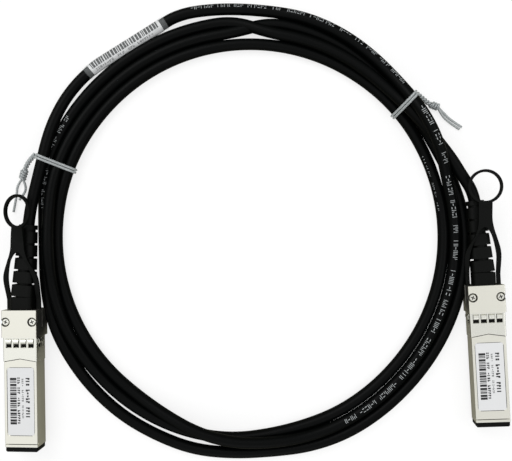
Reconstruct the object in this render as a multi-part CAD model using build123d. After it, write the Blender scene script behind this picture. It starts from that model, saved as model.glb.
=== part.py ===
from build123d import *

import os
from math import cos, pi, radians, sin, tan

# A coiled direct attach copper cable: two pluggable ends joined by one twinax cable.
# Millimetres, +Z up. The cable lies flat, and its origin is midway between the two ends,
# on the surface. Each end is drawn in its own frame: x across, z up through the label,
# y from the host side (negative) to the cable side, with y = 0 at the back of the head.

# Die-cast shell of one end
BODY_WIDTH = 13.4
BODY_HEIGHT = 8.55
BODY_BOTTOM = 2.2
WALL = 0.9
ROOF = 1.5
SHELL_LENGTH = 54.5
HEAD_WIDTH = 14.4
HEAD_LENGTH = 10.8
HEAD_HEIGHT = 11.9
HEAD_ROUND = 0.35
EDGE_ROUND = 0.2
SEAM = 0.3
END_BAR = 1.0

# Label on the cover and its shallow recess
LABEL_WIDTH = 10.9
LABEL_GAP = 2.4
LABEL_MARGIN = 4.7
LABEL_THICK = 0.12
LABEL_ROUND = 0.9
RECESS_DEPTH = 0.2
RECESS_MARGIN = 0.2

# Cover screws
SCREW_INSET = 1.75
SCREW_BACK = 4.6
SCREW_HEAD_R = 1.4
SCREW_HEAD_HEIGHT = 0.8
SCREW_SHANK_R = 0.8
SCREW_LENGTH = 3.4
SCREW_SINK = 0.25
COUNTERBORE_R = 1.85
CROSS_LENGTH = 1.6
CROSS_WIDTH = 0.4
CROSS_DEPTH = 0.45

# Spring-finger collar that grounds the shell in its cage
COLLAR_THICK = 0.22
COLLAR_LENGTH = 8.4
CHEVRON_DROP = 1.3
TOP_FINGER_COUNT = 4
SIDE_FINGER_COUNT = 2
FINGER_WIDTH = 2.1
FINGER_GAP = 0.95
FINGER_START = 0.55
FINGER_LENGTH = 2.1
FINGER_RISE = 0.5
WINDOW_LENGTH = 3.6
FLEX_GROOVE = 0.7
COLLAR_LIP = 1.2

# Moulded mouth frame at the host side
MOUTH_LENGTH = 2.0
MOUTH_INSET = 0.1
MOUTH_WALL = 0.9
MOUTH_CHAMFER = 0.45
MOUTH_ROUND = 0.7
MOUTH_SPIGOT = 1.2
SPIGOT_PLAY = 0.05

# Paddle card
CARD_WIDTH = 11.2
CARD_THICK = 1.0
CARD_NOSE_WIDTH = 9.2
CARD_NOSE_LENGTH = 5.2
CARD_TUCK = 0.7
CARD_BACK = 17.0
LEDGE_WIDTH = 0.7
LEDGE_PLAY = 0.05

# Latch slide under the shell, and the boss between its prongs
SLIDE_WIDTH = 9.6
SLIDE_THICK = 0.7
SLIDE_PLAY = 0.1
SLIDE_REACH = 9.6
SLIDE_BACK = 3.6
PRONG_GAP = 5.0
PRONG_LENGTH = 6.6
RAMP_LENGTH = 1.6
EAR_WIDTH = 1.1
EAR_INSET = 0.2
EAR_LENGTH = 3.4
EAR_TOP = 6.1
BOSS_SIDE = 3.2
BOSS_DROP = 1.3
BOSS_REACH = 5.4
RELEASE_TRAVEL = 2.2

# Return spring of the slide
SPRING_WIRE_R = 0.18
SPRING_R = 0.5
SPRING_LENGTH = 4.6
SPRING_TURNS = 6
SPRING_TAB = 0.6
SPRING_PLAY = 0.07

# Cable and the pieces on it
CABLE_R = 2.35
CABLE_HEIGHT = 6.6
FERRULE_R = 2.8
FERRULE_LENGTH = 5.4
CABLE_PLAY = 0.08
FERRULE_PLAY = 0.1

# Ribbed strain relief
BOOT_LENGTH = 34.0
BOOT_ROOT_WIDTH = 8.9
BOOT_ROOT_HEIGHT = 7.4
BOOT_ROOT_LENGTH = 4.5
BOOT_TIP_WIDTH = 6.9
BOOT_TIP_HEIGHT = 6.5
BOOT_ROUND = 1.6
BOOT_TIP_ROUND = 2.6
BOOT_SPIGOT = 3.0
BOOT_CORE_R = 2.95
NOTCH_COUNT = 5
NOTCH_WIDTH = 0.9
RIB_TAPER = 2.5
BOOT_PLAY = 0.05

# Pull tab
TAB_THICK = 1.2
ARM_WIDTH = 1.6
ARM_SPREAD = 6.1
ARM_HEIGHT = 6.1
EYE_WIDTH = 10.2
EYE_BELLY = 13.0
EYE_END = 23.2
EYE_OUTER = 13.9
NECK_WIDTH = 5.3
NECK_START = 27.0
RING_CENTRE = 39.3
RING_OUTER_R = 6.8
RING_INNER_R = 5.7
RING_REACH = 0.7
TAB_RISE_START = 4.0
TAB_RISE_END = 20.0
TAB_HIGH = 11.7
TAB_ROOM = 4.0
ARM_PLAY = 0.2

# Where the two ends lie on the surface, their heading and their roll
LEFT_END = (-93.0, 1.1)
LEFT_HEADING = 0.8
LEFT_ROLL = -5.5
LEFT_LEAN = -4.8
LEFT_DRIFT = 0.0
LEFT_TWIST = 21.0
RIGHT_END = (92.3, 11.0)
RIGHT_HEADING = 3.2
RIGHT_ROLL = -5.0
RIGHT_LEAN = 3.2
RIGHT_DRIFT = 1.8
RIGHT_TWIST = 0.0

# Coil of three and a half turns, tied in two places, as the ring that its turns fill
COIL_OUTER_CENTRE = (-1.8, 29.9)
COIL_OUTER_HALF = (85.0, 89.6)
COIL_INNER_CENTRE = (-2.9, 28.5)
COIL_INNER_HALF = (75.6, 77.1)
COIL_HEIGHT = 9.2
COIL_ROUND = 2.2
TIE_R = 0.6
LEFT_TIE = ((-70.2, 55.6), (-91.0, 63.8))
RIGHT_TIE = ((53.9, 77.0), (65.4, 89.3))
TAIL_R = 0.9
TAIL_BEND = 4.0

# Free stretches of the cable, after the straight run that leaves each strain relief
LEFT_EXIT_RUN = 9.0
RIGHT_EXIT_RUN = 6.5
LEFT_ROUTE = [
    (-88.2, 57.8, 5.6),
    (-83.4, 75.8, 3.6),
    (-76.6, 90.4, 3.0),
    (-71.6, 96.1, 3.0),
    (-33.5, 120.1, 3.0),
    (-25.0, 122.5, 3.0),
    (-10.0, 124.1, 3.0),
    (8.0, 122.9, 3.0),
    (24.0, 118.4, 3.2),
    (38.0, 111.2, 3.8),
    (48.0, 102.5, 4.6),
    (54.0, 95.0, 5.4),
]
RIGHT_ROUTE = [
    (84.9, 58.3, 6.4),
    (79.0, 68.0, 5.6),
    (71.5, 79.0, 4.6),
]
LEFT_TAIL = [(-91.2, 63.6, 4.0), (-96.0, 54.5, 2.0), (-99.0, 43.0, 1.1)]
RIGHT_TAIL = [(65.5, 89.2, 4.0), (75.0, 83.6, 2.0), (84.6, 75.4, 1.1)]

# Marker sleeve on the long straight stretch of the left side
MARKER_LENGTH = 37.0
MARKER_LABEL_LENGTH = 31.0
MARKER_LABEL_THICK = 0.14
MARKER_R = 2.85
MARKER_PLAY = 0.05

# Values worked out from the ones above
BODY_TOP = BODY_BOTTOM + BODY_HEIGHT
BODY_MIDDLE = (BODY_BOTTOM + BODY_TOP) / 2
SPLIT = BODY_TOP - ROOF
COVER_END = SHELL_LENGTH - END_BAR - SEAM
CAVITY_WIDTH = BODY_WIDTH - 2 * WALL
CAVITY_BOTTOM = BODY_BOTTOM + WALL
CAVITY_START = HEAD_LENGTH + WALL
CARD_BOTTOM = BODY_MIDDLE - CARD_THICK / 2
FULL_LENGTH = SHELL_LENGTH + MOUTH_LENGTH
LABEL_START = HEAD_LENGTH + COLLAR_LENGTH + CHEVRON_DROP + LABEL_GAP
LABEL_LENGTH = SHELL_LENGTH - LABEL_MARGIN - LABEL_START
SLIDE_TOP = BODY_BOTTOM - SLIDE_PLAY
SLIDE_BOTTOM = SLIDE_TOP - SLIDE_THICK
FERRULE_FRONT = BOOT_SPIGOT + FERRULE_LENGTH
SPRING_BACK = SLIDE_BACK + RELEASE_TRAVEL + SPRING_LENGTH
SPRING_HEIGHT = SLIDE_TOP + SPRING_R + SPRING_WIRE_R + SPRING_PLAY


def block(width, y_front, y_back, z_low, z_high, x=0.0):
    """A box by its width, its two ends along y and its two heights."""
    size_y = y_back - y_front
    size_z = z_high - z_low
    centre = Pos(x, (y_front + y_back) / 2, (z_low + z_high) / 2)
    return centre * Box(width, size_y, size_z)


def along_y(radius, y_front, y_back, z, x=0.0):
    """A round bar along y."""
    centre = Pos(x, (y_front + y_back) / 2, z)
    return centre * Rot(90, 0, 0) * Cylinder(radius, y_back - y_front)


def section_bar(width, height, corner, y_front, y_back, z):
    """A bar of rounded rectangular section along y."""
    plane = Plane(origin=(0, y_front, z), x_dir=(-1, 0, 0), z_dir=(0, 1, 0))
    return extrude(plane * RectangleRounded(width, height, corner), y_back - y_front)


def finger_groove(start, end):
    """The shallow groove around the shell that lets the collar's fingers flex."""
    outer = block(BODY_WIDTH + 1, start, end, BODY_BOTTOM, BODY_TOP + 1)
    inner = block(
        BODY_WIDTH - 2 * FLEX_GROOVE, start, end, BODY_BOTTOM, BODY_TOP - FLEX_GROOVE
    )
    return outer - inner


def shell_outline():
    """Head and body of the die casting, before the cover is split off."""
    head = section_bar(HEAD_WIDTH, HEAD_HEIGHT, HEAD_ROUND, -HEAD_LENGTH, 0, HEAD_HEIGHT / 2)
    body = section_bar(
        BODY_WIDTH, BODY_HEIGHT, EDGE_ROUND, -SHELL_LENGTH, -HEAD_LENGTH, BODY_MIDDLE
    )
    groove_start = -HEAD_LENGTH - FINGER_START - WINDOW_LENGTH
    return head + body - finger_groove(groove_start, -HEAD_LENGTH - FINGER_START)


def above_split():
    """The space that the cover takes: the roof of the body and of the head."""
    return block(HEAD_WIDTH + 1, -SHELL_LENGTH + END_BAR + SEAM, 1, SPLIT, HEAD_HEIGHT + 1)


def end_seam():
    """The open seam between the cover's end and the bar at the host side."""
    start = -SHELL_LENGTH + END_BAR
    return block(HEAD_WIDTH, start, start + SEAM, SPLIT, BODY_TOP + 1)


def shell_hollow():
    """Inside of the body: the card's bay with its two ledges, and the mouth."""
    bay = block(CAVITY_WIDTH, -SHELL_LENGTH - 1, -CAVITY_START, CAVITY_BOTTOM, SPLIT)
    ledge_x = (CAVITY_WIDTH - LEDGE_WIDTH) / 2
    ledges = Part()
    for side in (-1, 1):
        ledges += block(
            LEDGE_WIDTH,
            -COVER_END + MOUTH_SPIGOT,
            -CARD_BACK,
            CAVITY_BOTTOM,
            CARD_BOTTOM - LEDGE_PLAY,
            side * ledge_x,
        )
    return bay - ledges


def cable_bore():
    """Bore of the head: the ferrule's seat, the wires' way to the card, and the boot's seat."""
    ferrule_seat = along_y(FERRULE_R + FERRULE_PLAY, -FERRULE_FRONT, 1, CABLE_HEIGHT)
    wire_way = along_y(CABLE_R, -CAVITY_START - 1, -FERRULE_FRONT, CABLE_HEIGHT)
    boot_seat = section_bar(
        BOOT_ROOT_WIDTH - 2 * WALL + 2 * BOOT_PLAY,
        BOOT_ROOT_HEIGHT - 2 * WALL + 2 * BOOT_PLAY,
        BOOT_ROUND,
        -BOOT_SPIGOT,
        1,
        CABLE_HEIGHT,
    )
    return ferrule_seat + wire_way + boot_seat


def release_slots():
    """Room in the head for the slide, its ears, the pull tab's arms and the spring."""
    slide_room = block(
        SLIDE_WIDTH + 2 * SLIDE_PLAY,
        -HEAD_LENGTH - 1,
        -SLIDE_BACK + RELEASE_TRAVEL + SLIDE_PLAY,
        SLIDE_BOTTOM - SLIDE_PLAY,
        SLIDE_TOP + SLIDE_PLAY,
    )
    bar_room = block(
        2 * (ARM_SPREAD - EAR_INSET) + EAR_WIDTH + 2 * SLIDE_PLAY,
        -SLIDE_BACK - EAR_LENGTH - SLIDE_PLAY,
        -SLIDE_BACK + RELEASE_TRAVEL + SLIDE_PLAY,
        SLIDE_BOTTOM - SLIDE_PLAY,
        SLIDE_TOP + SLIDE_PLAY,
    )
    room = slide_room + bar_room
    for side in (-1, 1):
        slot_inside = ARM_SPREAD - ARM_WIDTH / 2 - ARM_PLAY
        room += block(
            HEAD_WIDTH / 2 - slot_inside,
            -SLIDE_BACK - EAR_LENGTH - ARM_PLAY,
            1,
            ARM_HEIGHT - TAB_THICK / 2 - ARM_PLAY,
            ARM_HEIGHT + TAB_THICK / 2 + ARM_PLAY,
            side * (HEAD_WIDTH / 2 + slot_inside) / 2,
        )
        room += block(
            EAR_WIDTH + 2 * SLIDE_PLAY,
            -SLIDE_BACK - EAR_LENGTH - SLIDE_PLAY,
            -SLIDE_BACK + RELEASE_TRAVEL + SLIDE_PLAY,
            SLIDE_BOTTOM - SLIDE_PLAY,
            ARM_HEIGHT,
            side * (ARM_SPREAD - EAR_INSET),
        )
    spring_room = SPRING_R + SPRING_WIRE_R + SPRING_PLAY
    room += block(
        2 * spring_room,
        -SPRING_BACK - SPRING_TAB - SPRING_PLAY,
        -SPRING_BACK + SPRING_LENGTH,
        SLIDE_TOP,
        SPRING_HEIGHT + spring_room,
    )
    return room


def screw_places():
    """Centres of the two cover screws."""
    x = HEAD_WIDTH / 2 - SCREW_INSET
    return [(-x, -SCREW_BACK), (x, -SCREW_BACK)]


def screw_holes():
    """Counterbores that break out at the head's sides, with the tapped holes below."""
    floor = HEAD_HEIGHT - SCREW_SINK - SCREW_HEAD_HEIGHT
    cut = Part()
    for x, y in screw_places():
        bore = Cylinder(COUNTERBORE_R, 2, align=(Align.CENTER, Align.CENTER, Align.MIN))
        reach = HEAD_HEIGHT - SCREW_SINK - SCREW_HEAD_HEIGHT - SCREW_LENGTH
        shank = Cylinder(
            SCREW_SHANK_R, floor - reach, align=(Align.CENTER, Align.CENTER, Align.MIN)
        )
        cut += Pos(x, y, floor) * bore
        cut += Pos(x, y, reach) * shank
    return cut


def latch_boss():
    """The wedge-shaped boss that the cage's tongue catches on."""
    plane = Plane.XY.offset(BODY_BOTTOM - BOSS_DROP)
    height = BOSS_SIDE * sin(pi / 3)
    front = -HEAD_LENGTH - BOSS_REACH
    outline = Polyline(
        (-BOSS_SIDE / 2, front), (BOSS_SIDE / 2, front), (0, front - height), close=True
    )
    return extrude(plane * make_face(outline), BOSS_DROP + WALL / 2)


def base_shell():
    """Lower die casting: tray, end bar, head block, latch boss."""
    shell = shell_outline() - above_split() - end_seam() - shell_hollow()
    shell = shell - cable_bore() - release_slots() - screw_holes()
    return shell + latch_boss()


def label_recess():
    """The shallow rounded recess for the label."""
    middle = -LABEL_START - LABEL_LENGTH / 2
    outline = RectangleRounded(
        LABEL_WIDTH + 2 * RECESS_MARGIN, LABEL_LENGTH + 2 * RECESS_MARGIN, LABEL_ROUND
    )
    return Pos(0, middle, BODY_TOP - RECESS_DEPTH) * extrude(outline, 1)


def cover():
    """Upper die casting: the roof of body and head, with the label's recess."""
    roof = shell_outline() & above_split()
    roof = roof - label_recess() - screw_holes() - cable_bore()
    return roof


def label():
    """Printed paper label."""
    middle = -LABEL_START - LABEL_LENGTH / 2
    outline = RectangleRounded(LABEL_WIDTH, LABEL_LENGTH, LABEL_ROUND - RECESS_MARGIN)
    return Pos(0, middle, BODY_TOP - RECESS_DEPTH) * extrude(outline, LABEL_THICK)


def cover_screws():
    """Two cross-recessed screws."""
    seat = HEAD_HEIGHT - SCREW_SINK - SCREW_HEAD_HEIGHT
    low = (Align.CENTER, Align.CENTER, Align.MIN)
    high = (Align.CENTER, Align.CENTER, Align.MAX)
    head = Cylinder(SCREW_HEAD_R, SCREW_HEAD_HEIGHT, align=low)
    head = chamfer(head.edges().group_by(Axis.Z)[-1], SCREW_HEAD_HEIGHT / 4)
    top = Pos(0, 0, SCREW_HEAD_HEIGHT)
    cross = top * Box(CROSS_LENGTH, CROSS_WIDTH, 2 * CROSS_DEPTH)
    cross += top * Box(CROSS_WIDTH, CROSS_LENGTH, 2 * CROSS_DEPTH)
    shank = Cylinder(SCREW_SHANK_R - 0.05, SCREW_LENGTH - 0.2, align=high)
    screw = head + shank - cross
    return [Pos(x, y, seat) * Rot(0, 0, 20 * x) * screw for x, y in screw_places()]


def finger(top):
    """One spring finger in the y-z plane: a shallow bow, fixed at the head's side."""
    far = FINGER_LENGTH
    outer = ThreePointArc((0, top), (far / 2, top + FINGER_RISE), (far, top + FINGER_RISE / 5))
    under = top - COLLAR_THICK
    inner = ThreePointArc(
        (far, under + FINGER_RISE / 5), (far / 2, under + FINGER_RISE), (0, under)
    )
    ends = Line((far, top + FINGER_RISE / 5), (far, under + FINGER_RISE / 5)) + Line(
        (0, under), (0, top)
    )
    return make_face(outer + inner + ends)


def finger_row(count, top):
    """A row of fingers, centred on x, whose flat ends lie at height top."""
    pitch = FINGER_WIDTH + FINGER_GAP
    row = []
    for i in range(count):
        x = (i - (count - 1) / 2) * pitch - FINGER_WIDTH / 2
        plane = Plane(
            origin=(x, -HEAD_LENGTH - FINGER_START, 0), x_dir=(0, -1, 0), z_dir=(1, 0, 0)
        )
        face = plane * finger(0)
        if plane.y_dir.Z < 0:
            face = plane * mirror(finger(0), Plane.XZ)
        row.append(Pos(0, 0, top) * extrude(face, FINGER_WIDTH, dir=(1, 0, 0)))
    return row


def window_row(count, top):
    """The windows that the fingers stand in."""
    pitch = FINGER_WIDTH + FINGER_GAP
    start = -HEAD_LENGTH - FINGER_START - WINDOW_LENGTH
    row = []
    for i in range(count):
        x = (i - (count - 1) / 2) * pitch
        width = FINGER_WIDTH + FINGER_GAP / 3
        row.append(
            block(width, start, -HEAD_LENGTH - FINGER_START, top - 1, top + 1, x)
        )
    return row


def collar():
    """Stamped collar round the shell, with its chevron edge and its spring fingers."""
    back = -HEAD_LENGTH
    front = -HEAD_LENGTH - COLLAR_LENGTH - CHEVRON_DROP
    outer = section_bar(
        BODY_WIDTH + 2 * COLLAR_THICK,
        BODY_HEIGHT + 2 * COLLAR_THICK,
        EDGE_ROUND + COLLAR_THICK,
        front,
        back,
        BODY_MIDDLE,
    )
    inner = section_bar(BODY_WIDTH, BODY_HEIGHT, EDGE_ROUND, front - 1, back + 1, BODY_MIDDLE)
    ring = outer - inner
    under = block(
        SLIDE_WIDTH + 2 * COLLAR_LIP, front - 1, back + 1, BODY_BOTTOM - 1, BODY_BOTTOM + 0.01
    )
    ring = ring - under
    half = BODY_WIDTH / 2 + 1
    notch = Polyline(
        (-half, front - 1),
        (-half, front),
        (0, front + CHEVRON_DROP),
        (half, front),
        (half, front - 1),
        close=True,
    )
    ring = ring - extrude(Plane.XY.offset(BODY_MIDDLE) * make_face(notch), BODY_HEIGHT)
    top_height = BODY_HEIGHT / 2 + COLLAR_THICK
    side_height = BODY_WIDTH / 2 + COLLAR_THICK
    turns = [
        (0, TOP_FINGER_COUNT, top_height),
        (90, SIDE_FINGER_COUNT, side_height),
        (-90, SIDE_FINGER_COUNT, side_height),
    ]
    for turn, count, height in turns:
        place = Pos(0, 0, BODY_MIDDLE) * Rot(0, turn, 0)
        for window in window_row(count, height):
            ring = ring - place * window
        for strip in finger_row(count, height):
            ring = ring + place * strip
    return ring


def mouth_frame():
    """Black moulded frame at the host side, open to the paddle card."""
    width = BODY_WIDTH - 2 * MOUTH_INSET
    height = BODY_HEIGHT - 2 * MOUTH_INSET
    start = -SHELL_LENGTH - MOUTH_LENGTH
    frame = section_bar(width, height, MOUTH_ROUND, start, -SHELL_LENGTH, BODY_MIDDLE)
    frame = chamfer(frame.faces().sort_by(Axis.Y)[0].edges(), MOUTH_CHAMFER)
    spigot = block(
        CAVITY_WIDTH - 2 * SPIGOT_PLAY,
        -SHELL_LENGTH,
        -SHELL_LENGTH + MOUTH_SPIGOT,
        CAVITY_BOTTOM + SPIGOT_PLAY,
        SPLIT - SPIGOT_PLAY,
    )
    opening = block(
        CAVITY_WIDTH - 2 * MOUTH_WALL,
        start - 1,
        -SHELL_LENGTH + MOUTH_SPIGOT + 1,
        CAVITY_BOTTOM + MOUTH_WALL,
        SPLIT - MOUTH_WALL,
    )
    return frame + spigot - opening


def paddle_card():
    """Circuit board whose edge plugs into the host's connector."""
    front = -FULL_LENGTH + CARD_TUCK
    shoulder = front + CARD_NOSE_LENGTH
    top = CARD_BOTTOM + CARD_THICK
    wide = block(CARD_WIDTH, shoulder, -CARD_BACK, CARD_BOTTOM, top)
    nose = block(CARD_NOSE_WIDTH, front, shoulder, CARD_BOTTOM, top)
    nose = chamfer(nose.faces().sort_by(Axis.Y)[0].edges().filter_by(Axis.X), CARD_THICK / 4)
    return wide + nose


def ears():
    """Two upright ears of the slide that the pull tab is moulded round."""
    pair = Part()
    for side in (-1, 1):
        pair += block(
            EAR_WIDTH,
            -SLIDE_BACK - EAR_LENGTH,
            -SLIDE_BACK,
            SLIDE_BOTTOM,
            EAR_TOP,
            side * (ARM_SPREAD - EAR_INSET),
        )
    return pair


def latch_slide():
    """Sprung metal slide: plate, two ramped prongs, two ears and the spring's tab."""
    front = -HEAD_LENGTH - SLIDE_REACH
    plate = block(SLIDE_WIDTH, front, -SLIDE_BACK, SLIDE_BOTTOM, SLIDE_TOP)
    gap = block(PRONG_GAP, front - 1, front + PRONG_LENGTH, SLIDE_BOTTOM - 1, SLIDE_TOP + 1)
    tips = plate.faces().sort_by(Axis.Y)[0].edges().sort_by(Axis.Z)[0]
    plate = chamfer(tips, SLIDE_THICK * 0.7, RAMP_LENGTH) - gap
    plate += block(
        2 * (ARM_SPREAD - EAR_INSET) + EAR_WIDTH,
        -SLIDE_BACK - EAR_LENGTH,
        -SLIDE_BACK,
        SLIDE_BOTTOM,
        SLIDE_TOP,
    )
    plate += ears()
    tab_top = SPRING_HEIGHT + SPRING_R
    plate += block(
        2 * SPRING_R, -SPRING_BACK - SPRING_TAB, -SPRING_BACK, SLIDE_BOTTOM, tab_top
    )
    return plate


def return_spring():
    """Small compression spring between the slide's tab and the head."""
    rise = SPRING_LENGTH - 2 * SPRING_WIRE_R - 2 * SPRING_PLAY
    path = Helix(rise / SPRING_TURNS, rise, SPRING_R)
    start = path @ 0
    section = Plane(origin=start, z_dir=path % 0) * Circle(SPRING_WIRE_R)
    wire = sweep(section, path=path, is_frenet=True)
    place = Pos(0, -SPRING_BACK + SPRING_WIRE_R + SPRING_PLAY, SPRING_HEIGHT)
    return place * Rot(-90, 0, 0) * wire


def crimp_ferrule():
    """Metal sleeve crimped on the cable's braid, held in the head."""
    sleeve = along_y(FERRULE_R, -FERRULE_FRONT, -BOOT_SPIGOT, CABLE_HEIGHT)
    bore = along_y(CABLE_R + CABLE_PLAY, -FERRULE_FRONT - 1, 0, CABLE_HEIGHT)
    return sleeve - bore


def boot_turn(lean):
    """Placement that bends the boot sideways at the end of its foot."""
    pivot = Pos(0, BOOT_ROOT_LENGTH, CABLE_HEIGHT)
    return pivot * Rot(0, 0, lean) * Pos(0, -BOOT_ROOT_LENGTH, 0)


def strain_relief(lean):
    """Ribbed boot: a block at the head, then a taper cut by ring notches, leaning a little."""
    boot = along_y(BOOT_CORE_R, BOOT_ROOT_LENGTH, BOOT_LENGTH - 1, 0)
    pitch = (BOOT_LENGTH - BOOT_ROOT_LENGTH) / (NOTCH_COUNT + 0.5)
    for i in range(NOTCH_COUNT + 1):
        start = BOOT_ROOT_LENGTH + i * pitch + NOTCH_WIDTH
        end = min(start + pitch - NOTCH_WIDTH, BOOT_LENGTH)
        share = (start - BOOT_ROOT_LENGTH) / (BOOT_LENGTH - BOOT_ROOT_LENGTH)
        width = BOOT_ROOT_WIDTH + (BOOT_TIP_WIDTH - BOOT_ROOT_WIDTH) * share
        height = BOOT_ROOT_HEIGHT + (BOOT_TIP_HEIGHT - BOOT_ROOT_HEIGHT) * share
        corner = BOOT_ROUND + (BOOT_TIP_ROUND - BOOT_ROUND) * share
        plane = Plane(origin=(0, start, 0), x_dir=(-1, 0, 0), z_dir=(0, 1, 0))
        rib = extrude(plane * RectangleRounded(width, height, corner), end - start, taper=RIB_TAPER)
        boot += rib
    bore = boot_turn(lean) * along_y(CABLE_R, BOOT_ROOT_LENGTH, BOOT_LENGTH + 1, 0)
    bore += Pos(0, BOOT_ROOT_LENGTH, CABLE_HEIGHT) * Sphere(CABLE_R)
    bore += along_y(CABLE_R, -BOOT_SPIGOT - 1, BOOT_ROOT_LENGTH, CABLE_HEIGHT)
    boot = boot_turn(lean) * boot
    foot = section_bar(
        BOOT_ROOT_WIDTH, BOOT_ROOT_HEIGHT, BOOT_ROUND, 0, BOOT_ROOT_LENGTH + 0.5, CABLE_HEIGHT
    )
    foot += section_bar(
        BOOT_ROOT_WIDTH - 2 * WALL,
        BOOT_ROOT_HEIGHT - 2 * WALL,
        BOOT_ROUND,
        -BOOT_SPIGOT,
        0,
        CABLE_HEIGHT,
    )
    return boot + foot - bore


def tab_outline(neck_x):
    """Plan of the tab's flat part: two arms round an eye, closing to the neck."""
    half_arm = ARM_WIDTH / 2
    root = -SLIDE_BACK - EAR_LENGTH
    outer_root = ARM_SPREAD + half_arm
    inner_root = ARM_SPREAD - half_arm
    half_neck = NECK_WIDTH / 2
    lines = Line((-outer_root, root), (outer_root, root))
    lines += Line((neck_x - half_neck, NECK_START), (neck_x + half_neck, NECK_START))
    for side in (-1, 1):
        lines += Line((side * outer_root, root), (side * outer_root, TAB_RISE_START))
        lines += Spline(
            (side * outer_root, TAB_RISE_START),
            (side * EYE_OUTER / 2, EYE_BELLY),
            (neck_x + side * half_neck, NECK_START),
            tangents=[(0, 1), (0, 1)],
        )
    plate = make_face(lines)
    eye = Spline(
        (-inner_root, TAB_RISE_START),
        (-EYE_WIDTH / 2, EYE_BELLY),
        (neck_x * EYE_END / NECK_START, EYE_END),
        (EYE_WIDTH / 2, EYE_BELLY),
        (inner_root, TAB_RISE_START),
        tangents=[(0, 1), (0, -1)],
    )
    hole = eye + Line((-inner_root, TAB_RISE_START), (-inner_root, root - 1))
    hole += Line((inner_root, TAB_RISE_START), (inner_root, root - 1))
    hole += Line((-inner_root, root - 1), (inner_root, root - 1))
    return plate - make_face(hole)


def tab_side():
    """Side view of the tab's flat part in the y-z plane: level arms, a rise, a level neck."""
    half = TAB_THICK / 2
    slope_run = TAB_RISE_END - TAB_RISE_START
    slope = (TAB_HIGH - ARM_HEIGHT) / slope_run
    shift = half * ((1 + slope * slope) ** 0.5 - 1) / slope
    points = [
        (-HEAD_LENGTH, ARM_HEIGHT - half),
        (TAB_RISE_START + shift, ARM_HEIGHT - half),
        (TAB_RISE_END + shift, TAB_HIGH - half),
        (NECK_START, TAB_HIGH - half),
        (NECK_START, TAB_HIGH + half),
        (TAB_RISE_END - shift, TAB_HIGH + half),
        (TAB_RISE_START - shift, ARM_HEIGHT + half),
        (-HEAD_LENGTH, ARM_HEIGHT + half),
    ]
    return make_face(Polyline(*points, close=True))


def tab_neck(neck_x, ring_x, twist):
    """Neck that turns from the flat part to the plane of the finger ring."""
    end = RING_CENTRE - RING_INNER_R - RING_REACH / 4
    sections = []
    for share in (0, 0.5, 1):
        angle = radians(twist * share)
        plane = Plane(
            origin=(
                neck_x + (ring_x - neck_x) * share * 0.6,
                NECK_START + (end - NECK_START) * share,
                TAB_HIGH,
            ),
            x_dir=(-cos(angle), 0, -sin(angle)),
            z_dir=(0, 1, 0),
        )
        sections.append(plane * Rectangle(NECK_WIDTH, TAB_THICK))
    return loft(sections)


def pull_tab(drift, twist):
    """Moulded strap that a fingertip pulls: flat part, neck and finger ring."""
    neck_x = 0.6 * drift
    slab = extrude(tab_outline(neck_x), HEAD_HEIGHT + TAB_ROOM)
    side = Plane(origin=(-EYE_OUTER, 0, 0), x_dir=(0, 1, 0), z_dir=(1, 0, 0)) * tab_side()
    flat = slab & extrude(side, 2 * EYE_OUTER, dir=(1, 0, 0))
    hoop = Cylinder(RING_OUTER_R, TAB_THICK) - Cylinder(RING_INNER_R, TAB_THICK)
    ring = Pos(drift, RING_CENTRE, TAB_HIGH) * Rot(0, -twist, 0) * hoop
    return flat + tab_neck(neck_x, drift, twist) + ring - ears()


def end_place(at, heading, roll):
    """Placement of one end: rolled onto its lower edge, then turned and set down."""
    lift = HEAD_WIDTH / 2 * sin(radians(abs(roll)))
    return Pos(at[0], at[1], lift) * Rot(0, 0, heading) * Rot(0, roll, 0)


def axis_point(place, lean, y):
    """A point on the axis of an end's strain relief, y from the back of the head."""
    local = Pos(0, y, CABLE_HEIGHT)
    if y > BOOT_ROOT_LENGTH:
        local = boot_turn(lean) * Pos(0, y, 0)
    return (place * local).position


def lead(place, lean, run, route):
    """One free stretch of cable, from its ferrule along straight runs and tangent arcs."""
    start = axis_point(place, lean, -BOOT_SPIGOT)
    bend = axis_point(place, lean, BOOT_ROOT_LENGTH)
    leave = axis_point(place, lean, BOOT_LENGTH + run)
    points = [start, bend, leave] + [Vector(*p) for p in route]
    radii = []
    for before, here, after in zip(points, points[1:], points[2:]):
        first = here - before
        second = after - here
        if here is leave:
            first = here - axis_point(place, lean, BOOT_LENGTH)
        shorter = min(first.length, second.length)
        half_turn = radians(first.get_angle(second)) / 2
        radii.append(0.45 * shorter / tan(half_turn))
    print("cable arcs", [round(r, 1) for r in radii])
    path = FilletPolyline(*points, radius=radii)
    tube = sweep(Plane(origin=path @ 0, z_dir=path % 0) * Circle(CABLE_R), path=path)
    print("tube volume over section times length", tube.volume / (pi * CABLE_R**2 * path.length))
    return tube


def tie(ends, tail):
    """Coated wire tie: a loop round the coil between its two ends, and its twisted tail."""
    inner = Vector(*ends[0], 0)
    outer = Vector(*ends[1], 0)
    across = outer - inner
    height = COIL_HEIGHT + TIE_R
    centre = (inner + outer) / 2 + Vector(0, 0, TIE_R + height / 2)
    plane = Plane(origin=centre, x_dir=across, z_dir=across.cross(Vector(0, 0, 1)))
    corner = height / 2 - TIE_R
    outline = plane * RectangleRounded(across.length, height, corner)
    loop_path = outline.face().outer_wire()
    section = Plane(origin=loop_path @ 0, z_dir=loop_path % 0) * Circle(TIE_R)
    loop = sweep(section, path=loop_path)
    path = FilletPolyline(*[Vector(*p) for p in tail], radius=TAIL_BEND)
    twist = sweep(Plane(origin=path @ 0, z_dir=path % 0) * Circle(TAIL_R), path=path)
    return loop + twist


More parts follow.
